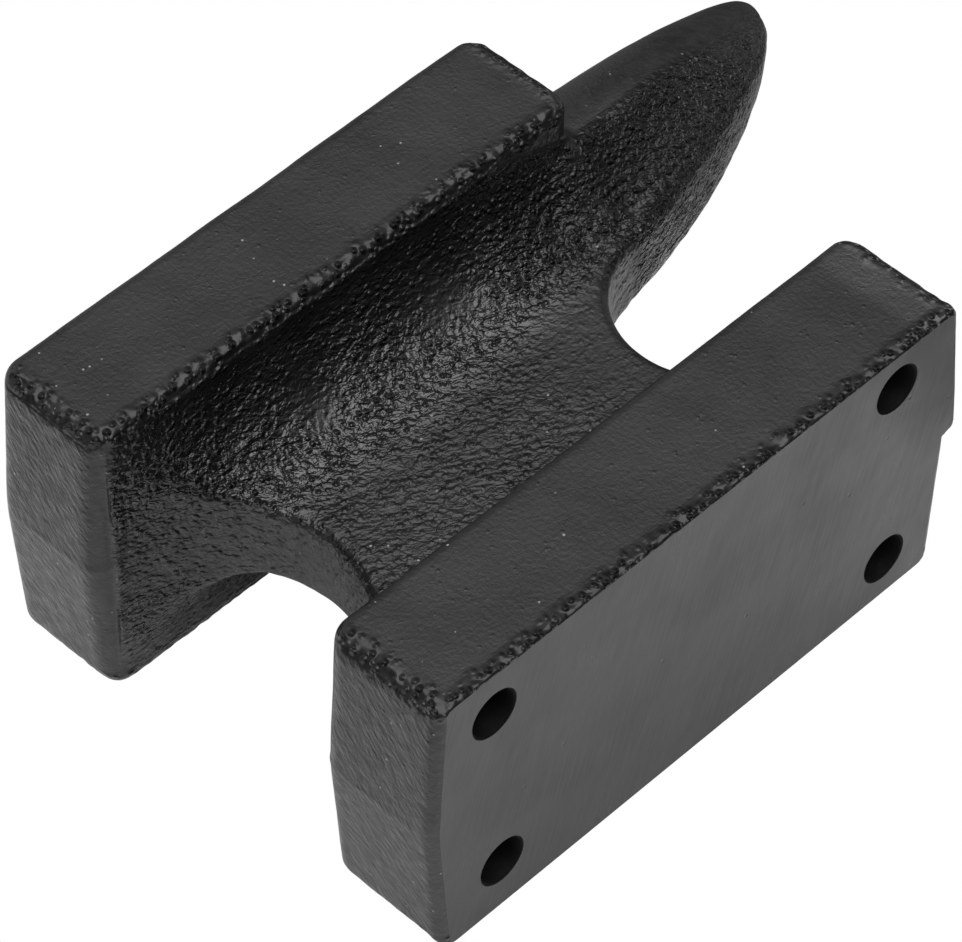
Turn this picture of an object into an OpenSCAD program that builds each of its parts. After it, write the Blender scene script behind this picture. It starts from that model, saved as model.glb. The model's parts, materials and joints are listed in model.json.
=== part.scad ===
// A small single-horn bench anvil, cast in one piece and painted.
// Frame: +X runs from the heel to the horn, Y across the width, +Z up.
// The origin is the middle of the base's underside. All sizes are in millimetres.

/* [Base] */
// Length of the base along its side edges
base_len = 70; // [66:1:76]
// Width of the base
base_w = 35; // [33:1:42]
// Thickness of the base
base_h = 14.6; // [14:0.1:14.8]

/* [Head] */
// Height of the working face above the bench
face_z = 58.9; // [58:0.1:60]
// Length of the working face along its side edges
face_len = 63.7; // [61:0.1:66]
// Width of the working face
face_w = 36; // [34:1:42]
// Thickness of the head at its sides
head_h = 14.1; // [13.5:0.1:15]

/* [Waist] */
// Thickness of the web between head and base
web_t = 10.2; // [9:0.1:13]
// Radius of the fillets that run along the web, under the head and over the base
web_fillet_r = 8.6; // [7:0.1:9]
// How much larger the radius of the heel hollow is than half the waist's height
heel_hollow_extra = 0.2; // [0.1:0.1:0.5]
// Radius of the hollow under the horn
horn_hollow_r = 11.2; // [11.1:0.1:11.4]
// How far the horn hollow's centre stands out from the head's horn end
horn_hollow_out = 0.6; // [0.3:0.1:1.5]
// Height of the horn hollow's centre
horn_hollow_z = 25.5; // [25.4:0.1:25.6]

/* [Horn] */
// Length of the horn from the head to the tip
horn_len = 35.4; // [32:0.1:42]
// Width of the horn where it leaves the head
horn_w = 22.8; // [20:0.1:25]
// Step from the working face down to the top of the horn
horn_step = 1.7; // [1:0.1:3]
// Height of the horn's tip
tip_z = 54; // [53:0.1:55]
// Width of the flat strip under the horn, where it leaves the waist
horn_keel_w = 9.6; // [8:0.1:10]

/* [Screw holes] */
// Diameter of the four blind holes in the underside
hole_d = 5.3; // [4.5:0.1:6.5]
// Depth of the deepest hole, the heel pair's -Y one
hole_depth = 11; // [9:0.5:12]
// How much shallower each next hole is: heel +Y, horn -Y and horn +Y
hole_depth_step = 0.5; // [0.3:0.1:0.8]
// Distance from the middle of the base to the pair of holes at the heel
heel_pair_x = 27.5; // [26:0.1:29]
// Spacing across the base of the pair at the heel
heel_pair_spacing = 22.8; // [20:0.1:26]
// How far the heel pair sits off the centre line
heel_pair_shift = -0.4; // [-1:0.1:1]
// How much nearer the middle the heel pair's +Y hole is than its -Y hole
heel_pair_skew = 1; // [0:0.1:1.5]
// Distance from the middle of the base to the pair of holes at the horn
horn_pair_x = 26.2; // [25:0.1:28]
// Spacing across the base of the pair at the horn
horn_pair_spacing = 24.8; // [22:0.1:27]
// How far the horn pair sits off the centre line
horn_pair_shift = -0.2; // [-1:0.1:1]

/* [Casting] */
// How far each end stands out at the parting line, from the mould's draft
draft = 1.3; // [0.4:0.1:1.6]
// How much shorter the base is on its +Y side at the horn end, where the mould parts meet
horn_end_step = 1.6; // [0.5:0.1:2.5]
// Radius of the end edges that run across the width
end_r = 2.5; // [1.5:0.1:3.4]
// Radius of the long edges of the side faces
side_r = 1.2; // [0.6:0.1:1.6]
// Radius of the upright edges of the side faces
upright_r = 2.1; // [1:0.1:2.5]
// Radius of the edges between the base's ends and its machined underside
foot_r = 1.4; // [0.8:0.1:2]

/* [Hidden] */
PAINT = [0.07, 0.07, 0.07];

// Steps in a quarter turn of a rounded edge or a fillet
ARC_STEPS = 6;
// How far a cutter passes the surface that it opens
PAST = 1;

heel_x = -base_len / 2;
horn_x = heel_x + face_len;
head_z = face_z - head_h;
waist_mid_z = (base_h + head_z) / 2;
waist_h = head_z - base_h;
heel_hollow_r = waist_h / 2 + heel_hollow_extra;

// Points of an arc around c from angle a0 to a1
function arc(c, r, a0, a1) =
    [for (i = [0 : ARC_STEPS]) c + r * [cos(a0 + (a1 - a0) * i / ARC_STEPS),
                                        sin(a0 + (a1 - a0) * i / ARC_STEPS)]];

// Extrudes an X-Z outline along Y, centred on the origin
module along_y(length) {
    rotate([90, 0, 0]) linear_extrude(length, center = true) children();
}

// Extrudes a Y-Z outline along X, from x0 on
module along_x(x0, length) {
    translate([x0, 0, 0]) rotate([90, 0, 90]) linear_extrude(length) children();
}

// Outline in Y and Z of a block that is rounded along its long edges.
// A low radius of zero leaves the lower edges sharp.
module end_outline(width, z0, z1, low_r) {
    y = width / 2 - side_r;
    low_y = width / 2 - low_r;
    polygon([
        each low_r == 0 ? [[low_y, z0]] : arc([low_y, z0 + low_r], low_r, 270, 360),
        each arc([y, z1 - side_r], side_r, 0, 90),
        each arc([-y, z1 - side_r], side_r, 90, 180),
        each low_r == 0 ? [[-low_y, z0]] : arc([-low_y, z0 + low_r], low_r, 180, 270)]);
}

// Cuts the rounded edge at the top (up = 1) or foot (up = -1) of an end. The end faces
// +X (out = 1) or -X (out = -1), starts at the point at and turns with the draft.
module end_edge_cut(at, turn, out, up, r, reach) {
    curve = arc([-r, -r], r, 0, 90);
    translate(at) rotate([0, 0, turn]) along_y(reach) polygon([
        for (p = curve) [out * p.x, up * p.y],
        [-out * r, up * PAST], [out * PAST, up * PAST], [out * PAST, -up * r]]);
}

// One half of a cast block, on the +Y (side = 1) or -Y (side = -1) of the parting line.
// x and rise give the side length and the draft of the heel end and of the horn end,
// and foot_radii and top_radii give the radii of their edges.
module cast_half(side, x, z0, z1, width, rise, foot_radii, top_radii, low_side_r) {
    half = width / 2;
    turns = [-side * atan(rise[0] / half), side * atan(rise[1] / half)];
    plan = [
        [x[1] + rise[1], 0],
        each arc([x[1] - upright_r, half - upright_r], upright_r, side * turns[1], 90),
        each arc([x[0] + upright_r, half - upright_r], upright_r, 90, 180 + side * turns[0]),
        [x[0] - rise[0], 0]];
    difference() {
        intersection() {
            translate([0, 0, z0]) linear_extrude(z1 - z0)
                polygon([for (p = plan) [p.x, side * p.y]]);
            along_x(x[0] - 2 * PAST, x[1] - x[0] + 4 * PAST)
                end_outline(width, z0, z1, low_side_r);
        }
        for (end = [0, 1]) {
            out = 2 * end - 1;
            end_edge_cut([x[end], side * half, z0], turns[end], out, -1, foot_radii[end], 3 * width);
            end_edge_cut([x[end], side * half, z1], turns[end], out, 1, top_radii[end], 3 * width);
        }
    }
}

// Half the thickness of the waist, as a Y-Z outline on the +Y side
function flank(z_low, z_high) =
    let (y = web_t / 2 + web_fillet_r)
    [each arc([y, z_low + web_fillet_r], web_fillet_r, 270, 180),
     each arc([y, z_high - web_fillet_r], web_fillet_r, 180, 90)];

module base() {
    color(PAINT) difference() {
        for (side = [-1, 1]) {
            end_x = -heel_x - (side == 1 ? horn_end_step : 0);
            cast_half(side, [heel_x, end_x], 0, base_h, base_w, [draft, draft],
                      [foot_r, foot_r], [end_r, end_r], 0);
        }
        hole_pair([-heel_pair_x, heel_pair_shift], [heel_pair_skew, heel_pair_spacing], 0);
        hole_pair([horn_pair_x, horn_pair_shift], [0, horn_pair_spacing], 2);
    }
}

// Two blind holes in the underside, apart steps away from each other, around the point
// middle. The -Y one is the first depth steps shallower than the deepest hole.
module hole_pair(middle, apart, first) {
    for (i = [0, 1]) {
        depth = hole_depth - (first + i) * hole_depth_step;
        translate([each middle + (i - 0.5) * apart, -PAST])
            cylinder(h = depth + PAST, d = hole_d, $fn = 48);
    }
}

module waist() {
    right = flank(base_h, head_z);
    left = [for (i = [len(right) - 1 : -1 : 0]) [-right[i].x, right[i].y]];
    color(PAINT) difference() {
        along_x(heel_x, face_len) polygon(concat(right, left));
        hollow(heel_x, waist_mid_z, heel_hollow_r);
        hollow(horn_x + horn_hollow_out, horn_hollow_z, horn_hollow_r);
    }
}

// A round hollow across the whole width
module hollow(x, z, r) {
    translate([x, 0, z]) rotate([90, 0, 0])
        cylinder(h = face_w, r = r, center = true, $fn = 96);
}

module head() {
    color(PAINT) for (side = [-1, 1])
        cast_half(side, [heel_x, horn_x], head_z, face_z, face_w, [draft, 0],
                  [end_r, end_r], [end_r, end_r], side_r);
}

// The horn is a stack of sections from its root to its tip. Along it, u runs from 0 to 1.
HORN_STEPS = 20;
CROWN_STEPS = 16;
FLANK_STEPS = 8;
horn_top_z = face_z - horn_step;
horn_root_z = horn_hollow_z + sqrt(pow(horn_hollow_r, 2) - pow(horn_hollow_out, 2));

function taper(u, power, root) = pow(1 - pow(u, power), root);
function horn_half_w(u) = horn_w / 2 * taper(u, 1.65, 0.75);
function horn_crown_z(u) = tip_z + (horn_top_z - tip_z) * taper(u, 2.34, 0.52);
function horn_keel_z(u) = tip_z - (tip_z - horn_root_z) * taper(u, 1.4, 0.54);
function keel_half_w(u) = horn_keel_w / 2 * taper(u, 1, 0.6);
// The flank is hollow at the root and rounds out to a full belly by this far along
BELLY_U = 0.7;
FLANK_POWER = 2.4;

// Half width of the flank at height t, from 0 at the keel to 1 at the widest line
function flank_y(u, t) =
    let (w = horn_half_w(u), s = keel_half_w(u), belly = min(1, u / BELLY_U),
         hollow_y = w - (w - s) * pow(1 - pow(t, FLANK_POWER), 1 / FLANK_POWER),
         belly_y = s + (w - s) * sqrt(1 - pow(1 - t, 2)))
    (1 - belly) * hollow_y + belly * belly_y;

function horn_section(u) =
    let (x = horn_x + horn_len * u, w = horn_half_w(u), wide_z = horn_crown_z(u) - w,
         keel_z = horn_keel_z(u))
    [for (i = [0 : CROWN_STEPS])
        let (a = 180 * i / CROWN_STEPS) [x, w * cos(a), wide_z + w * sin(a)],
     for (i = [1 : FLANK_STEPS])
        let (t = 1 - i / FLANK_STEPS) [x, -flank_y(u, t), keel_z + (wide_z - keel_z) * t],
     for (i = [FLANK_STEPS : -1 : 1])
        let (t = 1 - i / FLANK_STEPS) [x, flank_y(u, t), keel_z + (wide_z - keel_z) * t]];

module horn() {
    rings = [for (i = [0 : HORN_STEPS - 1]) horn_section(sin(90 * i / HORN_STEPS))];
    n = len(rings[0]);
    tip = HORN_STEPS * n;
    points = [for (ring = rings) each ring, [horn_x + horn_len, 0, tip_z]];
    faces = [
        [for (k = [0 : n - 1]) k],
        for (i = [0 : HORN_STEPS - 2]) for (k = [0 : n - 1])
            let (a = i * n + k, b = i * n + (k + 1) % n) each [[a, a + n, b], [b, a + n, b + n]],
        for (k = [0 : n - 1]) [tip - n + k, tip, tip - n + (k + 1) % n]];
    color(PAINT) polyhedron(points, faces, convexity = 4);
}

base();
waist();
head();
horn();
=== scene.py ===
import json

import bmesh
import bpy
import numpy as np
from mathutils import Matrix, Vector


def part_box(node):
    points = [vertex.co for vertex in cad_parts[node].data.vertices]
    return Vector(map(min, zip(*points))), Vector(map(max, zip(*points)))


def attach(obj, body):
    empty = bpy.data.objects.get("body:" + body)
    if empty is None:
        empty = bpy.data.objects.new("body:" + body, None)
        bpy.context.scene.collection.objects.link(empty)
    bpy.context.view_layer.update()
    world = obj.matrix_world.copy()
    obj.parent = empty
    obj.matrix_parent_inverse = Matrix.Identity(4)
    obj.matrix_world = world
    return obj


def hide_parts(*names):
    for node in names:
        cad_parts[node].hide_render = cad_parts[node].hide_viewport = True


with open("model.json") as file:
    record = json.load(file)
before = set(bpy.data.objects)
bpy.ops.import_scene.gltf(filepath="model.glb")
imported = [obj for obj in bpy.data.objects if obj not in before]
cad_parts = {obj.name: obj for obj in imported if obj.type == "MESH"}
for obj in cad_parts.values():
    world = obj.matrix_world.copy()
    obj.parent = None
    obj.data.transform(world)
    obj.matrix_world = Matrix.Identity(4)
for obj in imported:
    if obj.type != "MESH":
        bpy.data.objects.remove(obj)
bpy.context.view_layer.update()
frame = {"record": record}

# A small anvil cast in one piece, painted black, with a machined underside. The shape is one
# smooth solid in millimetres, meshed, given its sand-cast skin and cut into the CAD's nodes.
MM = 0.001


def box_mm(node):
    low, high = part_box(node)
    return np.array(low) / MM, np.array(high) / MM


HEAD_LOW, HEAD_HIGH = box_mm("head")
HORN_LOW, HORN_HIGH = box_mm("horn")
BASE_HIGH = box_mm("base")[1]

# ---- Sizes that the frame gives
BASE_H = BASE_HIGH[2]
BASE_HALF = BASE_HIGH[1]
HEAD_Z = HEAD_LOW[2]
FACE_Z = HEAD_HIGH[2]
HEAD_HALF = HEAD_HIGH[1]
HORN_X = HEAD_HIGH[0]
HORN_TOP_Z = HORN_HIGH[2]
HORN_HALF = HORN_HIGH[1]

# ---- Small departures from the CAD, where the photo shows them
WIDER = 0.3
HORN_LONGER = 0.3
ROOT_LOWER = 0.5
HORN_LEN = HORN_HIGH[0] - HORN_X + HORN_LONGER
HORN_ROOT_Z = HORN_LOW[2] - ROOT_LOWER

# ---- Base and head: the ends lean out by the draft towards the parting line
DRAFT = 1.3
HEEL_X = HEAD_LOW[0] + DRAFT
END_X = BASE_HIGH[0] - DRAFT
LEAN_SOFT = 2.2
LEAN_SHIFT = 0.4 * LEAN_SOFT
HORN_END_STEP = 1.6
STEP_Y = (-0.3, 0.4)
END_R = 2.5
SIDE_R = 1.3
UPRIGHT_R = (2.2, 2.1)
HEAD_UPRIGHT_R = (2.2, 1.6)
FOOT_R = 1.4
MACHINED_R = 0.35
LEVEL_BLEND = 2
TURN_BLEND = 2.5

# ---- Waist: a web that flares into the base and the head, with a hollow at each end
WEB_HALF = 5.0
FLARE_TOP = (11.6, 9.0)
FLARE_HORN = (8.6, 8.2)
FLARE_LOW = (9.0, 7.4)
FLARE_LOW_HORN = (11.2, 8.6)
NEAR_HORN_X = (16, HORN_X - 1)
HEEL_HOLLOW = (HEEL_X, (BASE_H + HEAD_Z) / 2, 14.9)
HORN_HOLLOW = (HORN_X + 0.1, 25.3, 10.7)
STRIP_R = 1.3
WEB_END_R = 1.6
WEB_INTO_HEAD = 4
WEB_FROM_HEEL = 1.2
BLOCK_FILLET = 0.5

# ---- Horn. Each curve's two powers shape a line that falls from the root to the tip
TIP_Z = 54.0
HALF_CURVE = (1.65, 0.75)
CROWN_CURVE = (2.34, 0.52)
KEEL_CURVE = (1.2, 0.54)
SOLE_CURVE = (1, 0.6)
KEEL_HALF = 4.8
KEEL_R = 1.3
KEEL_SHARPENS = 0.7
BELLY_U = 0.7
FLANK_POWER = 1.8
TIP_U = 0.9999
HORN_SOFT = 0.5
HORN_SHRINK = 0.12
HORN_CLIP = 4
HORN_INTO_HEAD = 3
HORN_NEAR = 6
BLEND_R = 0.4
BLEND_MORE = 2.2
BLEND_MORE_Z = (37.5, 40.5)
BLEND_LESS = 0.6
BLEND_LESS_Z = (43, 48)

# ---- Parting line: a low ridge round the middle of the casting
PARTING_W = 0.5
PARTING_H = 0.07
PARTING_FADE = (1, 3)

# ---- Meshing and cutting
STEP = 0.3
GRID_BEFORE = 3.37 * STEP
GRID_AFTER = 3 * STEP
PROBE = 0.04
LEAST_SLOPE = 0.05
SETTLE_PASSES = 3
MACHINED_Z = 0.03 * MM
CUT = 0.4
BASE_CUT = (BASE_H + CUT) * MM
HEAD_CUT = (HEAD_Z - CUT) * MM
HORN_CUT = (HORN_X + CUT) * MM
HORN_OVER = 25 * MM
NEAR = 3 * STEP * MM
ON_PLANE = 1e-7

# ---- Holes in the underside, from the record's bore mounts
BORES = [m for m in frame["record"]["mounts"] if m["kind"] == "bore"]
HOLE_SIDES = 72
HOLE_LIP = 0.22 * MM
POINT_R = 0.02
POINT_DEPTH = 0.55


def smooth(low, high, v):
    """0 at low and 1 at high, with a soft start and end."""
    t = np.clip((v - low) / (high - low), 0, 1)
    return t * t * (3 - 2 * t)


def between(a, b, t):
    return a + (b - a) * t


def edge(a, b, r):
    """Both solids at once, with the edge between them rounded to radius r."""
    return np.minimum(np.maximum(a, b), -r) + np.hypot(np.maximum(a + r, 0), np.maximum(b + r, 0))


def fillet(a, b, r):
    """Either solid, with the corner between them filled to radius r."""
    return np.maximum(np.minimum(a, b), r) - np.hypot(np.maximum(r - a, 0), np.maximum(r - b, 0))


# ---- The casting's shape, as signed distances in millimetres
def cast_block(x, y, z, half, x_low, x_high, rise, z_low, z_high, radii):
    """A drafted block. radii: end edges' top and foot, side edges' top and foot, uprights."""
    lean = 1 - (np.sqrt(y * y + LEAN_SOFT ** 2) - LEAN_SHIFT) / half
    end = np.maximum(x_low - rise[0] * lean - x, x - x_high - rise[1] * lean)
    top, foot = z - z_high, z_low - z
    side = np.abs(y - WIDER / 2) - half - WIDER / 2
    body = edge(edge(end, top, radii[0]), foot, radii[1])
    along = between(radii[3], radii[2], smooth(-LEVEL_BLEND, LEVEL_BLEND, top - foot))
    turn = smooth(-TURN_BLEND, TURN_BLEND, end - np.maximum(top, foot))
    upright = np.where(x < 0, radii[4][0], radii[4][1])
    return edge(body, side, between(along, upright, turn))


def base_solid(x, y, z):
    """The base, shorter at its horn end on the +Y side of the parting line."""
    step = HORN_END_STEP * smooth(*STEP_Y, y)
    radii = (END_R, FOOT_R, SIDE_R, MACHINED_R, UPRIGHT_R)
    return cast_block(x, y, z, BASE_HALF, HEEL_X, END_X - step, (DRAFT, DRAFT), 0, BASE_H, radii)


def head_solid(x, y, z):
    radii = (END_R, END_R, SIDE_R, SIDE_R, HEAD_UPRIGHT_R)
    return cast_block(x, y, z, HEAD_HALF, HEEL_X, HORN_X, (DRAFT, 0), HEAD_Z, FACE_Z, radii)


def flare(off_web, off_block, size):
    """The web widening into a block along a quarter of an ellipse."""
    p, q = np.maximum(1 - off_web / size[0], 0), np.maximum(1 - off_block / size[1], 0)
    reach = p * p + q * q + 1e-9
    scale = (size[0] * p * p + size[1] * q * q) / reach
    return np.where(reach > 1e-6, (1 - np.sqrt(reach)) * scale, np.minimum(off_web, off_block))


def waist_solid(x, y, z):
    off_web = np.abs(y) - WEB_HALF
    near_horn = smooth(*NEAR_HORN_X, x)
    high_size = [between(a, b, near_horn) for a, b in zip(FLARE_TOP, FLARE_HORN)]
    low_size = [between(a, b, near_horn) for a, b in zip(FLARE_LOW, FLARE_LOW_HORN)]
    upper = np.maximum(flare(off_web, HEAD_Z - z, high_size), off_web - high_size[0])
    lower = np.maximum(flare(off_web, z - BASE_H, low_size), off_web - low_size[0])
    body = np.minimum(off_web, np.minimum(upper, lower))
    body = np.maximum(body, np.maximum(BASE_H / 2 - z, z - HEAD_Z - WEB_INTO_HEAD))
    for cx, cz, r in (HEEL_HOLLOW, HORN_HOLLOW):
        body = edge(body, r - np.hypot(x - cx, z - cz), STRIP_R)
    body = edge(body, x - HORN_X, WEB_END_R)
    return np.maximum(body, HEEL_X + WEB_FROM_HEEL - x)


def taper(u, curve):
    """Falls from 1 at the horn's root to 0 at its tip."""
    return (1 - u ** curve[0]) ** curve[1]


def horn_form(x, y, z):
    """A round crown over flanks that are hollow at the root and full towards the tip."""
    u = np.clip((x - HORN_X) / HORN_LEN, 0, TIP_U)
    half = HORN_HALF * taper(u, HALF_CURVE)
    crown = between(TIP_Z, HORN_TOP_Z, taper(u, CROWN_CURVE))
    keel = between(TIP_Z, HORN_ROOT_Z, taper(u, KEEL_CURVE))
    sole = KEEL_HALF * taper(u, SOLE_CURVE)
    wide = crown - half
    t = np.clip((z - keel) / (wide - keel), 0, 1)
    hollow = between(sole, half, (1 - np.cos(np.pi * t ** FLANK_POWER)) / 2)
    full = between(sole, half, np.sqrt(1 - (1 - t) ** 2))
    flank = between(hollow, full, np.minimum(1, u / BELLY_U))
    body = np.where(z > wide, np.hypot(y, z - wide) - half, np.abs(y) - flank)
    body = edge(body, keel - z, KEEL_R * (1 - KEEL_SHARPENS * u))
    return np.maximum(body, np.maximum(x - HORN_X - HORN_LEN, HORN_X - HORN_INTO_HEAD - x))


def horn_solid(x, y, z):
    """The horn with its sharp lines softened, as an average of four shifted copies."""
    total = 0
    for dy in (-HORN_SOFT, HORN_SOFT):
        for dz in (-HORN_SOFT, HORN_SOFT):
            total = total + np.clip(horn_form(x, y + dy, z + dz), -HORN_CLIP, HORN_CLIP)
    return total / 4 - HORN_SHRINK


def casting(x, y, z):
    """Signed distance to the casting, in millimetres, near its surface."""
    trunk = fillet(head_solid(x, y, z), waist_solid(x, y, z), BLOCK_FILLET)
    body = fillet(trunk, base_solid(x, y, z), BLOCK_FILLET)
    near = x > HORN_X - HORN_NEAR
    xn, yn, zn = x[near], y[near], z[near]
    more = smooth(*BLEND_MORE_Z, zn) * (1 - BLEND_LESS * smooth(*BLEND_LESS_Z, zn))
    body[near] = fillet(body[near], horn_solid(xn, yn, zn), BLEND_R + BLEND_MORE * more)
    fade = smooth(*PARTING_FADE, FACE_Z - z) * smooth(*PARTING_FADE, z)
    return body - PARTING_H * np.exp(-(y / PARTING_W) ** 2) * fade


# ---- Meshing
def surface_net(values, origin):
    """Quads round every grid edge that crosses the surface, with one vertex a cell."""
    inside = values < 0
    count = np.zeros(np.array(values.shape) - 1, np.int8)
    corners = [(i, j, k) for i in (0, 1) for j in (0, 1) for k in (0, 1)]
    nx, ny, nz = count.shape
    for i, j, k in corners:
        count += inside[i:i + nx, j:j + ny, k:k + nz]
    cells = np.argwhere((count > 0) & (count < len(corners)))
    index = np.full(count.shape, -1, np.int32)
    index[tuple(cells.T)] = np.arange(len(cells))
    place, hits = np.zeros((len(cells), 3)), np.zeros(len(cells))
    for a in corners:
        for axis in range(3):
            if a[axis]:
                continue
            b = list(a)
            b[axis] = 1
            va = values[tuple((cells + a).T)]
            vb = values[tuple((cells + b).T)]
            cross = (va < 0) != (vb < 0)
            t = np.where(cross, va / np.where(cross, va - vb, 1), 0)
            spot = np.array(a)[None, :] + t[:, None] * (np.array(b) - a)[None, :]
            place[cross] += spot[cross]
            hits[cross] += 1
    points = origin + STEP * (cells + place / hits[:, None])
    return points, np.concatenate([net_quads(inside, index, axis) for axis in range(3)])


def net_quads(inside, index, axis):
    """The quads across the grid edges that run along one axis."""
    first = [slice(0, -1) if a == axis else slice(None) for a in range(3)]
    second = [slice(1, None) if a == axis else slice(None) for a in range(3)]
    ia, ib = inside[tuple(first)], inside[tuple(second)]
    at = np.argwhere(ia != ib)
    p, q = (axis + 1) % 3, (axis + 2) % 3
    ring = []
    for dp, dq in ((-1, -1), (0, -1), (0, 0), (-1, 0)):
        shift = np.zeros(3, int)
        shift[p], shift[q] = dp, dq
        ring.append(index[tuple((at + shift).T)])
    ring = np.stack(ring, 1)
    flip = ib[tuple(at.T)]
    ring[flip] = ring[flip][:, ::-1]
    return ring


def gradient(p):
    out = np.zeros_like(p)
    for a in range(3):
        d = np.zeros(3)
        d[a] = PROBE
        out[:, a] = (casting(*(p + d).T) - casting(*(p - d).T)) / (2 * PROBE)
    return out


def onto_surface(p):
    """Moves points along the slope until they lie on the casting."""
    for _ in range(SETTLE_PASSES):
        g = gradient(p)
        g2 = np.maximum((g * g).sum(1), LEAST_SLOPE)
        move = -(casting(*p.T) / g2)[:, None] * g
        size = np.linalg.norm(move, axis=1)[:, None]
        p = p + move * np.minimum(1, 0.5 * STEP / np.maximum(size, 1e-9))
    g = gradient(p)
    return p, g / np.linalg.norm(g, axis=1)[:, None]


# ---- Sand-cast skin. A layer of noise has a width and a height in millimetres, and a seed
HASH = (374761393, 668265263, 2147483647, 974634777)
HASH_AGAIN = 1274126177
LUMPS = ((2.6, 0.5, 11), (1.5, 0.35, 12), (0.95, 0.22, 13))
LUMPS_SHARE = 0.34
EVEN = ((9.0, 0.10, 21), (3.5, 0.035, 22), (1.2, 0.018, 23))
BEADS = ((1.0, 0.14, 31), (1.6, 0.08, 32))
EDGE_WANDER = ((2.2, 0.9, 41),)
FLOW = (0.968, 0.252)
FLOW_STRETCH = 1.7
FLAT_UNDER = 0.5

# Each pair is the span over which a weight goes from 0 to 1
WEB_OVER_BASE = (0.3, 1.6)
WEB_OVER_HEAD_Z = (0.2, -0.4)
WEB_PAST_HORN_X = (3, 1)
SIDEWAYS = (0.25, 0.75)
DOWNWARDS = (0.05, 0.4)
FLARE_Y = (4.5, 8)
UPPER_WEB_Z = (32, 38)
CALM_X, CALM_Z = (3, 15), (39, 33)
HORN_START_X = (-0.5, 1.5)
HORN_UNDER = (0.0, -0.45)
HORN_UNDER_Z = (25, 30)
HORN_FADE_X = (14, 26)
BEAD_SIDE = (-1.9, -0.3)
BEAD_FOOT = (-2.0, -0.4)
BEAD_ENDS = (-2.6, -0.4)
BEAD_FROM_Z = (-1.2, -0.2)
BEAD_TO_Z = (1.2, 0.2)
GRAIN_ENDS = (0.75, 0.93)
GRAIN_INSET = 1.5
CROWN_X = (0, 2)
GLOSS_Z, GLOSS_X = (31, 37), (22, 12)

# How much of each weight those spans give
WEB_LEAST = 0.5
UPPER_WEB = (0.5, 0.65)
CALM_SHARE = 0.7
HORN_ROUGH = (1.1, 0.5)
SMOOTH_PATCHES = ((7.5, 41.5, 5.5, 3.0), (-10.5, 41.0, 3.5, 3.0))
PATCH_SHARE = 0.75
CROWN_GLOSS = 0.6
UNDER_HORN_DULL = 0.3


def lattice(i, j, k, seed):
    """A whole number of 32 bits for each corner of the noise's grid."""
    h = (i * HASH[0] + j * HASH[1] + k * HASH[2] + seed * HASH[3]) & 0xFFFFFFFF
    h = ((h ^ (h >> 13)) * HASH_AGAIN) & 0xFFFFFFFF
    return h ^ (h >> 16)


def noise(p, seed):
    """Smooth noise of about -0.7 to 0.7, with features about one unit across."""
    cell = np.floor(p).astype(np.int64)
    f = p - cell
    s = f * f * f * (f * (f * 6 - 15) + 10)
    total = 0
    for i in (0, 1):
        for j in (0, 1):
            for k in (0, 1):
                h = lattice(cell[:, 0] + i, cell[:, 1] + j, cell[:, 2] + k, seed)
                g = [((h >> b) & 1023) / 511.5 - 1 for b in (0, 10, 20)]
                dot = g[0] * (f[:, 0] - i) + g[1] * (f[:, 1] - j) + g[2] * (f[:, 2] - k)
                w = (s[:, 0] if i else 1 - s[:, 0]) * (s[:, 1] if j else 1 - s[:, 1])
                total = total + dot * w * (s[:, 2] if k else 1 - s[:, 2])
    return total


def layers(p, rows):
    return sum(height * noise(p / width, seed) for width, height, seed in rows)


def flow_space(p):
    """Coordinates in which the skin's texture is drawn out along the flow of the sand."""
    along = (FLOW[0] * p[:, 0] - FLOW[1] * p[:, 2]) / FLOW_STRETCH
    across = FLOW[1] * p[:, 0] + FLOW[0] * p[:, 2]
    return np.stack([along, p[:, 1], across], 1)


def web_weight(x, z):
    """1 on the waist, between the base and the head."""
    upright = smooth(*WEB_OVER_BASE, z - BASE_H) * smooth(*WEB_OVER_HEAD_Z, z - HEAD_Z)
    return upright * smooth(*WEB_PAST_HORN_X, x - HORN_X)


def under_horn(x, z, up):
    """How rough the horn's keel and lower flanks are, less so towards the tip."""
    under = smooth(*HORN_START_X, x - HORN_X) * smooth(*HORN_UNDER, up) * smooth(*HORN_UNDER_Z, z)
    return under * (HORN_ROUGH[0] - HORN_ROUGH[1] * smooth(*HORN_FADE_X, x - HORN_X))


def edge_beads(x, y, z, wander):
    """The pebbly bands along the blocks' lower side edges and their uprights."""
    bead = np.zeros(len(x))
    blocks = ((HEAD_HALF, HORN_X, HEAD_Z, FACE_Z), (BASE_HALF, END_X, 0, BASE_H))
    for half, x_high, z_low, z_high in blocks:
        side = smooth(*BEAD_SIDE, np.abs(y) - half + wander)
        foot = smooth(*BEAD_FOOT, z_low - z + wander)
        ends = smooth(*BEAD_ENDS, np.maximum(HEEL_X - x, x - x_high) + wander)
        inside = smooth(*BEAD_FROM_Z, z - z_low) * smooth(*BEAD_TO_Z, z - z_high)
        bead = np.maximum(bead, side * np.maximum(foot, ends) * inside)
    return bead


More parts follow.
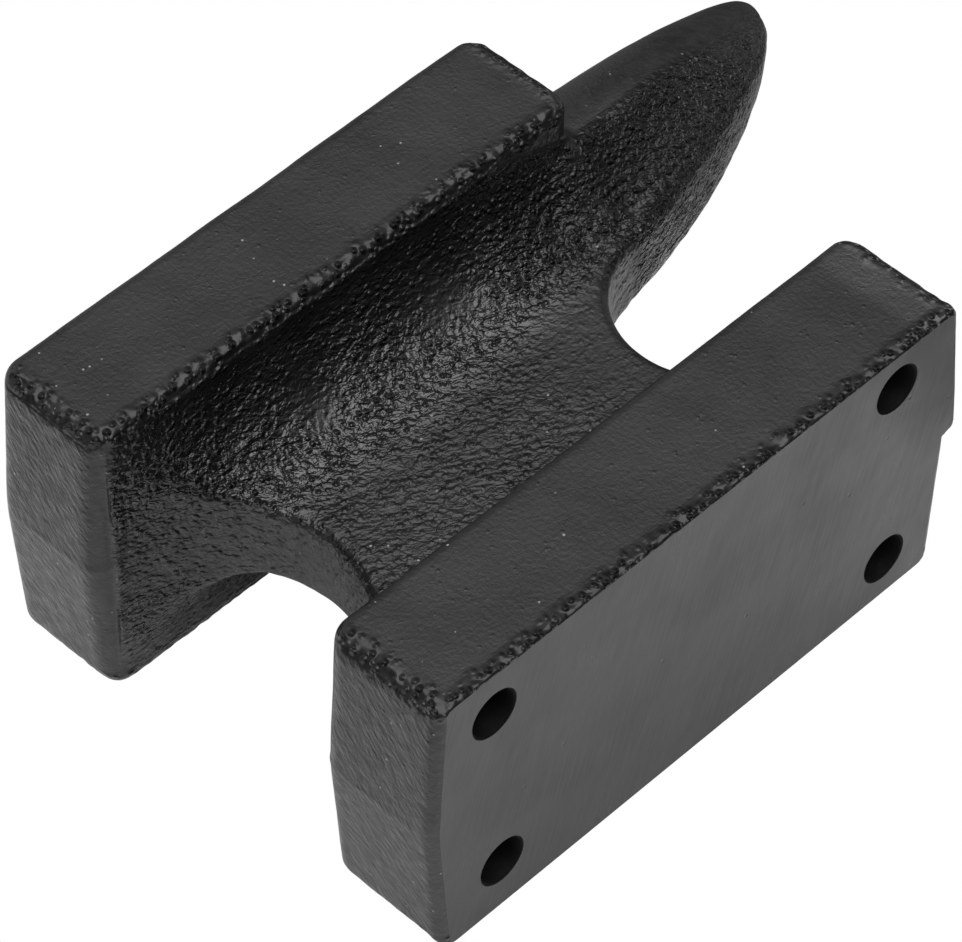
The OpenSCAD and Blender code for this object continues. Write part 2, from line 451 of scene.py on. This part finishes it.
def regions(p, n):
    """How rough, beaded, grained and glossy the skin is at each point."""
    x, y, z = p.T
    web = web_weight(x, z)
    facing = smooth(*SIDEWAYS, np.abs(n[:, 1]))
    on_flare = smooth(*DOWNWARDS, -n[:, 2]) * smooth(*FLARE_Y, np.abs(y))
    rough = web * between(WEB_LEAST, 1, np.maximum(facing, on_flare))
    rough = rough * (UPPER_WEB[0] + UPPER_WEB[1] * smooth(*UPPER_WEB_Z, z))
    rough = rough * (1 - CALM_SHARE * smooth(*CALM_X, x) * smooth(*CALM_Z, z))
    lower_horn = under_horn(x, z, n[:, 2])
    rough = np.maximum(rough, lower_horn)
    for px, pz, rx, rz in SMOOTH_PATCHES:
        spot = np.exp(-((x - px) / rx) ** 2 - ((z - pz) / rz) ** 2)
        rough = rough * (1 - PATCH_SHARE * spot * web)
    bead = edge_beads(x, y, z, layers(p, EDGE_WANDER))
    grain = smooth(*GRAIN_ENDS, np.abs(n[:, 0])) * (np.abs(y) < HEAD_HALF - GRAIN_INSET)
    crown = smooth(*CROWN_X, x - HORN_X) * (1 - lower_horn)
    gloss = web * facing * smooth(*GLOSS_Z, z) * smooth(*GLOSS_X, x)
    gloss = gloss + CROWN_GLOSS * crown - UNDER_HORN_DULL * lower_horn
    return {"rough": rough, "bead": bead, "grain": grain, "gloss": gloss}


def skin(p, n):
    """Height of the cast skin over the smooth shape, with the weights that the paint uses."""
    weights = regions(p, n)
    lumps = weights["rough"] * layers(flow_space(p), LUMPS) * LUMPS_SHARE
    height = layers(p, EVEN) + lumps + weights["bead"] * layers(p, BEADS)
    return height * smooth(0, FLAT_UNDER, p[:, 2]), weights


def build_surface():
    low = np.array([HEAD_LOW[0], -HEAD_HALF, 0]) - GRID_BEFORE
    high = np.array([HORN_HIGH[0], HEAD_HALF, FACE_Z]) + GRID_AFTER
    axes = [np.arange(low[a], high[a] + STEP, STEP) for a in range(3)]
    grid = np.meshgrid(*axes, indexing="ij")
    values = casting(*[g.ravel() for g in grid]).reshape(grid[0].shape)
    points, quads = surface_net(values, low)
    points, normals = onto_surface(points)
    height, weights = skin(points, normals)
    return points + normals * height[:, None], quads, weights


# ---- Pieces: the whole casting cut at the nodes' faces
CAST, MACHINED, BORED, INNER = range(4)
PAINT_OF = {CAST: 0, MACHINED: 1, BORED: 2, INNER: 0}
FAN = 20


def to_bmesh(points, quads, weights):
    mesh = bpy.data.meshes.new("whole")
    mesh.from_pydata((points * MM).tolist(), [], quads.tolist())
    for name, values in weights.items():
        layer = mesh.attributes.new(name, "FLOAT", "POINT")
        layer.data.foreach_set("value", values.astype(np.float32))
    bm = bmesh.new()
    bm.from_mesh(mesh)
    bpy.data.meshes.remove(mesh)
    return bm


def near_plane(bm, axis, at):
    return [f for f in bm.faces if abs(f.verts[0].co[axis] - at) < NEAR]


def slice_mesh(bm, axis, at, faces):
    """Cuts the faces along a plane and puts the new vertices exactly on it."""
    normal, spot = [0, 0, 0], [0, 0, 0]
    normal[axis], spot[axis] = 1, at
    edges = list(dict.fromkeys(e for f in faces for e in f.edges))
    verts = list(dict.fromkeys(v for f in faces for v in f.verts))
    cut = bmesh.ops.bisect_plane(bm, geom=edges + verts + faces, dist=1e-8, plane_co=spot,
                                 plane_no=normal)
    for g in cut["geom_cut"]:
        if isinstance(g, bmesh.types.BMVert):
            g.co[axis] = at


def cut_casting(bm):
    """Makes the cuts between the pieces and opens the underside at z = 0."""
    slice_mesh(bm, 2, MACHINED_Z, near_plane(bm, 2, MACHINED_Z))
    under = [f for f in bm.faces if f.calc_center_median().z < MACHINED_Z]
    bmesh.ops.delete(bm, geom=under, context="FACES")
    slice_mesh(bm, 2, BASE_CUT, near_plane(bm, 2, BASE_CUT))
    heel_side = [f for f in near_plane(bm, 2, HEAD_CUT) if f.verts[0].co.x < HORN_CUT + NEAR]
    slice_mesh(bm, 2, HEAD_CUT, heel_side)
    above_base = [f for f in near_plane(bm, 0, HORN_CUT) if f.verts[0].co.z > HORN_OVER]
    slice_mesh(bm, 0, HORN_CUT, above_base)
    for v in bm.verts:
        if abs(v.co.z - MACHINED_Z) < ON_PLANE:
            v.co.z = 0


def owner_of(c):
    """The piece that a face with this centre belongs to."""
    if c.z < BASE_CUT:
        return "base"
    if c.x > HORN_CUT:
        return "horn"
    return "head" if c.z > HEAD_CUT else "waist"


def take_piece(bm, name, owners):
    """A copy of the cut casting that keeps only one piece's faces."""
    part = bm.copy()
    part.faces.ensure_lookup_table()
    others = [part.faces[i] for i, owner in enumerate(owners) if owner != name]
    bmesh.ops.delete(part, geom=others, context="FACES")
    loose = [v for v in part.verts if not v.link_faces]
    bmesh.ops.delete(part, geom=loose, context="VERTS")
    return part


def cap(bm, axis, at, extra=()):
    """Closes the open edges that lie in one plane and returns the new faces."""
    edges = [e for e in bm.edges if e.is_boundary
             and all(abs(v.co[axis] - at) < ON_PLANE for v in e.verts)]
    edges = list(dict.fromkeys(edges + list(extra)))
    made = bmesh.ops.triangle_fill(bm, edges=edges, use_beauty=False)
    return [g for g in made["geom"] if isinstance(g, bmesh.types.BMFace)]


def corner_edge(bm):
    """The edge inside the casting where the head's cut meets the horn's."""
    verts = [v for v in bm.verts if abs(v.co.z - HEAD_CUT) < ON_PLANE
             and abs(v.co.x - HORN_CUT) < ON_PLANE]
    ends = [min(verts, key=lambda v: v.co.y), max(verts, key=lambda v: v.co.y)]
    return [bm.edges.get(ends) or bm.edges.new(ends)]


def bore_rings(bm):
    """The walls of the blind holes, each with a small lip and a drill point."""
    walls, rims = [], []
    turns = 2 * np.pi * np.arange(HOLE_SIDES) / HOLE_SIDES
    for m in BORES:
        cx, cy = m["pos_m"][0], m["pos_m"][1]
        r, depth = m["dims"]["r_mm"] * MM, m["dims"]["length_mm"] * MM
        levels = [(r + HOLE_LIP, 0), (r, HOLE_LIP), (r, depth), (r * POINT_R, depth + r * POINT_DEPTH)]
        rings = [[bm.verts.new((cx + radius * np.cos(a), cy + radius * np.sin(a), z)) for a in turns]
                 for radius, z in levels]
        for below, above in zip(rings, rings[1:]):
            for k in range(HOLE_SIDES):
                after = (k + 1) % HOLE_SIDES
                walls.append(bm.faces.new([below[k], above[k], above[after], below[after]]))
        walls.append(bm.faces.new(rings[-1]))
        rims += [bm.edges.get([rings[0][k], rings[0][(k + 1) % HOLE_SIDES]]) for k in range(HOLE_SIDES)]
    return walls, rims


def close_piece(part, name):
    """Fills a piece's openings, bores the base, and returns the kind of every new face."""
    machined, bored = [], []
    if name == "base":
        bored, rims = bore_rings(part)
        machined = cap(part, 2, 0.0, rims)
        inner = cap(part, 2, BASE_CUT)
    elif name == "horn":
        inner = cap(part, 0, HORN_CUT)
    else:
        corner = corner_edge(part)
        inner = cap(part, 2, BASE_CUT) if name == "waist" else []
        inner = inner + cap(part, 2, HEAD_CUT, corner) + cap(part, 0, HORN_CUT, corner)
    return {**dict.fromkeys(machined, MACHINED), **dict.fromkeys(bored, BORED),
            **dict.fromkeys(inner, INNER)}


def dress_faces(part, kinds, normals):
    """Gives each face its paint, and returns the corners' normals: the whole casting's on the
    cast skin, so that no cut shows, round ones in the holes and flat ones elsewhere."""
    tag = part.verts.layers.int["whole_index"]
    corners = []
    for f in part.faces:
        kind = kinds.get(f, CAST)
        f.material_index = PAINT_OF[kind]
        f.smooth = True
        for v in f.verts:
            if kind == CAST:
                corners.append(tuple(normals[v[tag]]))
            elif kind == BORED and len(v.link_faces) < FAN:
                corners.append(tuple(v.normal))
            else:
                corners.append(tuple(f.normal))
    return corners


def new_object(name, mesh):
    obj = bpy.data.objects.new(name, mesh)
    bpy.context.scene.collection.objects.link(obj)
    return obj


def make_pieces(bm):
    cut_casting(bm)
    bm.normal_update()
    bm.verts.index_update()
    normals = np.array([v.normal[:] for v in bm.verts])
    whole_index = bm.verts.layers.int.new("whole_index")
    for v in bm.verts:
        v[whole_index] = v.index
    owners = [owner_of(f.calc_center_median()) for f in bm.faces]
    pieces = {}
    for name in ("base", "waist", "head", "horn"):
        part = take_piece(bm, name, owners)
        kinds = close_piece(part, name)
        part.faces.index_update()
        bmesh.ops.recalc_face_normals(part, faces=list(part.faces))
        part.normal_update()
        corners = dress_faces(part, kinds, normals)
        mesh = bpy.data.meshes.new("cast_" + name)
        part.to_mesh(mesh)
        part.free()
        pieces[name] = new_object("cast_" + name, mesh)
        mesh.normals_split_custom_set(corners)
    bm.free()
    return pieces


# ---- Materials. Places, widths and heights are in millimetres; a scale is features per millimetre
BLACK = (0.006, 0.006, 0.0063, 1)
GREY = (0.012, 0.012, 0.0125, 1)
# Grey of the painted highlight specks: glints drawn into the cast paint's colour
PAINTED_SPECK_GREY = (0.22, 0.22, 0.22, 1)
WHITE = (0.95, 0.95, 0.95, 1)
PALE = (0.86, 0.86, 0.86, 1)
BEAD_WET = 0.7
CAST_SPECULAR = (0.45, 0.4)
BORE_SPECULAR = 0.06
SAND_TURN = (0, 0.4, 0)
STREAK_TURN = (-0.77, 0, 0)
BRUSH_TURN = (0, 0, 0.31)


class Nodes:
    """A short way to write a node tree."""

    def __init__(self, tree):
        self.tree = tree

    def add(self, kind, inputs=(), out=0, **settings):
        node = self.tree.nodes.new(kind)
        for key, value in settings.items():
            setattr(node, key, value)
        for key, value in dict(inputs).items():
            if isinstance(value, bpy.types.NodeSocket):
                self.tree.links.new(value, node.inputs[key])
            else:
                node.inputs[key].default_value = value
        return node.outputs[out]

    def math(self, operation, a, b=0.0):
        return self.add("ShaderNodeMath", {0: a, 1: b}, operation=operation)

    def times(self, a, b):
        return self.math("MULTIPLY", a, b)

    def plus(self, first, *others):
        for other in others:
            first = self.math("ADD", first, other)
        return first

    def span(self, value, low, high, to_low=0.0, to_high=1.0):
        """Goes softly from to_low to to_high while the value goes from low to high."""
        return self.add("ShaderNodeMapRange", {0: value, 1: low, 2: high, 3: to_low, 4: to_high},
                        interpolation_type="SMOOTHSTEP")

    def noise(self, vector, scale, detail=2.0, rough=0.5, distort=0.0):
        return self.add("ShaderNodeTexNoise", {"Vector": vector, "Scale": scale, "Detail": detail,
                                               "Roughness": rough, "Distortion": distort})

    def relief(self, vector, scale, height, detail=2.0, rough=0.5, distort=0.0):
        """Noise of this height."""
        return self.times(self.noise(vector, scale, detail, rough, distort), height)

    def patches(self, vector, scale, low, high):
        """0 and 1 in large patches with soft borders."""
        return self.span(self.noise(vector, scale, 1), low, high)

    def dots(self, vector, scale, full, gone, height):
        """Scattered round dots, at their height out to full and down to nothing at gone."""
        cells = self.add("ShaderNodeTexVoronoi", {"Vector": vector, "Scale": scale})
        return self.span(cells, full, gone, height, 0)

    def drawn_out(self, vector, lengths, turn=(0, 0, 0)):
        """Coordinates turned, then drawn out to these lengths."""
        return self.add("ShaderNodeMapping", {"Vector": vector, "Scale": lengths, "Rotation": turn},
                        vector_type="TEXTURE")

    def value(self, name):
        return self.add("ShaderNodeAttribute", out=2, attribute_name=name)

    def mix(self, factor, a, b):
        return self.add("ShaderNodeMix", {0: factor, 6: a, 7: b}, out=2, data_type="RGBA")

    def blend(self, factor, a, b):
        return self.add("ShaderNodeMix", {0: factor, 2: a, 3: b}, out=0, data_type="FLOAT")

    def place(self):
        """The object's own coordinates."""
        place = self.add("ShaderNodeTexCoord", out=3)
        return self.add("ShaderNodeVectorMath", {0: place, "Scale": 1 / MM}, operation="SCALE")

    def surface(self, shader, output="ShaderNodeOutputMaterial"):
        self.tree.links.new(shader, self.tree.nodes.new(output).inputs["Surface"])

    def paint(self, colour, roughness, height, specular=0.5):
        bump = self.add("ShaderNodeBump", {"Height": height, "Distance": MM, "Strength": 1.0})
        inputs = {"Base Color": colour, "Roughness": roughness, "Normal": bump,
                  "Specular IOR Level": specular}
        self.surface(self.add("ShaderNodeBsdfPrincipled", inputs))


def new_material(name):
    material = bpy.data.materials.new(name)
    material.use_nodes = True
    material.node_tree.nodes.clear()
    return material, Nodes(material.node_tree)


def cast_relief(n, place, rough, bead):
    """The cast skin's fine relief: lumps and sand, edge pebbles, grit and heel streaks."""
    flow = n.drawn_out(place, (1.5, 1, 1), SAND_TURN)
    lumps = n.relief(flow, scale=1.45, height=0.66, distort=0.5)
    small = n.relief(flow, scale=2.8, height=0.12, detail=1)
    sand = n.dots(place, scale=1.15, full=0.05, gone=0.5, height=0.33)
    sand = n.times(sand, n.patches(place, scale=0.5, low=0.36, high=0.56))
    coarse = n.times(n.plus(lumps, small, sand), rough)
    pebbles = n.dots(place, scale=1.1, full=0.0, gone=0.55, height=0.6)
    pebbles = n.plus(pebbles, n.relief(place, scale=1.05, height=0.5, detail=0))
    grit = n.dots(place, scale=0.8, full=0.06, gone=0.22, height=0.05)
    grit = n.times(grit, n.patches(place, scale=0.45, low=0.48, high=0.55))
    grit = n.plus(n.relief(place, scale=2.0, height=0.075, rough=0.6), grit)
    grit = n.times(grit, n.span(bead, low=0.1, high=0.9, to_low=1, to_high=0.2))
    tiny = n.relief(place, scale=6.0, height=0.012, detail=1)
    streaks = n.relief(n.drawn_out(place, (1, 2.6, 1), STREAK_TURN), scale=1.9, height=0.17)
    streaks = n.times(streaks, n.value("grain"))
    return n.plus(coarse, n.times(pebbles, bead), grit, tiny, streaks)


def cast_paint():
    material, n = new_material("cast_black_paint")
    place, rough, bead = n.place(), n.value("rough"), n.value("bead")
    cloud = n.noise(place, scale=0.13, detail=3)
    colour = n.mix(n.span(cloud, low=0.35, high=0.68), BLACK, GREY)
    # Scattered pale grey dots in patches: painted highlight specks, glints drawn into the colour rather
    # than lit
    painted_specks = n.dots(place, scale=0.55, full=0.05, gone=0.09, height=1)
    painted_specks = n.times(painted_specks, n.patches(place, scale=0.3, low=0.5, high=0.56))
    sheen = n.noise(place, scale=0.8)
    matte = n.span(sheen, low=0.2, high=0.8, to_low=0.34, to_high=0.5)
    wet = n.span(sheen, low=0.2, high=0.8, to_low=0.1, to_high=0.24)
    roughness = n.blend(n.math("MAXIMUM", rough, n.times(bead, BEAD_WET)), matte, wet)
    specular = n.plus(n.times(n.value("gloss"), CAST_SPECULAR[1]), CAST_SPECULAR[0])
    height = cast_relief(n, place, rough, bead)
    n.paint(n.mix(painted_specks, colour, PAINTED_SPECK_GREY), roughness, height, specular)
    return material


def machined_paint():
    material, n = new_material("machined_black_paint")
    place = n.place()
    lines = n.noise(n.drawn_out(place, (1, 26, 1), BRUSH_TURN), scale=3.5, rough=0.6)
    broad = n.relief(n.drawn_out(place, (1, 12, 1), BRUSH_TURN), scale=0.9, height=0.008)
    cloud = n.noise(place, scale=0.09)
    colour = n.mix(n.span(cloud, low=0.35, high=0.65), BLACK, GREY)
    roughness = n.plus(n.span(lines, low=0.3, high=0.7, to_low=0.3, to_high=0.38),
                       n.span(cloud, low=0.3, high=0.7, to_low=-0.05, to_high=0.06))
    nicks = n.dots(place, scale=0.32, full=0.03, gone=0.09, height=-0.05)
    nicks = n.times(nicks, n.patches(place, scale=0.2, low=0.5, high=0.6))
    wave = n.relief(place, scale=0.25, height=0.05, detail=1)
    n.paint(colour, roughness, n.plus(n.times(lines, 0.008), broad, nicks, wave))
    return material


def bore_paint():
    material, n = new_material("bore_black_paint")
    place = n.place()
    colour = n.mix(n.noise(place, scale=0.6), BLACK, GREY)
    ridges = n.noise(n.drawn_out(place, (1, 1, 0.17)), scale=1.0)
    roughness = n.span(ridges, low=0.3, high=0.7, to_low=0.5, to_high=0.7)
    height = n.plus(n.times(ridges, 0.02), n.relief(place, scale=3, height=0.02))
    n.paint(colour, roughness, height, BORE_SPECULAR)
    return material


def floor_paint():
    """Pale on its upper side; from below the floor isn't there."""
    material, n = new_material("floor")
    shade = n.add("ShaderNodeBsdfPrincipled", {"Base Color": PALE, "Roughness": 0.7})
    clear = n.add("ShaderNodeBsdfTransparent")
    back = n.add("ShaderNodeNewGeometry", out=6)
    n.surface(n.add("ShaderNodeMixShader", {0: back, 1: shade, 2: clear}))
    return material


# ---- Stage
FLOOR_HALF = 1.2
FLOOR_Z = -0.00005
CARD_HALF = 0.1
CARD_Y = (HEAD_HALF + 9) * MM
CARD_END_X = (HORN_X + 28) * MM


def make_floor():
    mesh = bpy.data.meshes.new("floor")
    corners = [(-FLOOR_HALF, -FLOOR_HALF), (FLOOR_HALF, -FLOOR_HALF), (FLOOR_HALF, FLOOR_HALF),
               (-FLOOR_HALF, FLOOR_HALF)]
    mesh.from_pydata([(x, y, FLOOR_Z) for x, y in corners], [], [(0, 1, 2, 3)])
    mesh.materials.append(floor_paint())
    floor = new_object("floor", mesh)
    floor.visible_diffuse = floor.visible_glossy = False
    floor.visible_transmission = floor.visible_shadow = False


def make_reflector():
    """A white card behind the +Y side, seen only in the paint's gloss."""
    mesh = bpy.data.meshes.new("reflector")
    corners = [(-CARD_HALF, -CARD_HALF), (CARD_END_X, -CARD_HALF), (CARD_END_X, CARD_HALF),
               (-CARD_HALF, CARD_HALF)]
    mesh.from_pydata([(x, CARD_Y, z) for x, z in corners], [], [(0, 1, 2, 3)])
    material, n = new_material("white_card")
    n.surface(n.add("ShaderNodeBsdfDiffuse", {"Color": WHITE}))
    mesh.materials.append(material)
    card = new_object("reflector", mesh)
    card.visible_camera = card.visible_diffuse = card.visible_shadow = False
    card.visible_transmission = False


# A softbox over the -Y side, a white table on the +Y side, a dark room round them, and weaker
# light on the working face and the two ends. Each pair is the span of the direction's x, y or z
# over which a glow comes up
SOFTBOX_EDGE = 0.31
SOFTBOX_EDGE_Y = (-0.36, -0.54)
SOFTBOX_CORE = 2.5
SOFTBOX_CORE_Y = (-0.72, -0.94)
TABLE_LIGHT = 0.81
TABLE_Y = (0.45, 0.68)
TABLE_FADE_X = (0.49, 0.62)
TABLE_FADED = 0.5
OVERHEAD = 0.45
OVERHEAD_Z = (0.75, 0.92)
END_LIGHT = 0.4
END_LIGHT_X = (0.9, 0.98)
ROOM = 0.07
FLOOR_LIGHT = 0.9
FLOOR_LIGHT_Z = (0.0, 0.3)


def make_light():
    world = bpy.data.worlds.new("studio")
    bpy.context.scene.world = world
    world.use_nodes = True
    world.node_tree.nodes.clear()
    n = Nodes(world.node_tree)
    split = world.node_tree.nodes.new("ShaderNodeSeparateXYZ")
    world.node_tree.links.new(n.add("ShaderNodeTexCoord"), split.inputs[0])
    x, y, z = split.outputs
    table = n.times(n.span(y, *TABLE_Y), n.span(x, *TABLE_FADE_X, 1.0, TABLE_FADED))
    glows = ((n.span(y, *SOFTBOX_EDGE_Y), SOFTBOX_EDGE), (n.span(y, *SOFTBOX_CORE_Y), SOFTBOX_CORE),
             (table, TABLE_LIGHT), (n.span(z, *OVERHEAD_Z), OVERHEAD),
             (n.span(n.math("ABSOLUTE", x), *END_LIGHT_X), END_LIGHT))
    lit = n.plus(ROOM, *[n.times(glow, strength) for glow, strength in glows])
    rays = world.node_tree.nodes.new("ShaderNodeLightPath")
    upper = n.times(rays.outputs["Is Diffuse Ray"], n.span(z, *FLOOR_LIGHT_Z))
    lit = n.plus(lit, n.times(upper, FLOOR_LIGHT))
    strength = n.blend(rays.outputs["Is Camera Ray"], lit, 1.0)
    n.surface(n.add("ShaderNodeBackground", {0: (1, 1, 1, 1), 1: strength}), "ShaderNodeOutputWorld")
    bpy.context.scene.view_settings.view_transform = "Standard"


CAMERA_AT = (-250.556, -403.284, -219.748)
CAMERA_RIGHT = (0.70313, 0.00250, -0.71105)
CAMERA_DOWN = (-0.53677, 0.65772, -0.52848)
CAMERA_LENS = 208.06
CAMERA_SENSOR = 36


def make_camera():
    data = bpy.data.cameras.new("camera")
    data.lens, data.sensor_width = CAMERA_LENS, CAMERA_SENSOR
    camera = new_object("camera", data)
    right = Vector(CAMERA_RIGHT).normalized()
    down = Vector(CAMERA_DOWN)
    down = (down - right * down.dot(right)).normalized()
    back = right.cross(-down)
    turn = Matrix((right, -down, back)).transposed().to_4x4()
    camera.matrix_world = Matrix.Translation(Vector(CAMERA_AT) * MM) @ turn
    bpy.context.scene.camera = camera


make_camera()
make_light()
make_floor()
make_reflector()
paints = [cast_paint(), machined_paint(), bore_paint()]
pieces = make_pieces(to_bmesh(*build_surface()))
for name, piece in pieces.items():
    for paint in paints if name == "base" else paints[:1]:
        piece.data.materials.append(paint)
    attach(piece, "root")
    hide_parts(name)
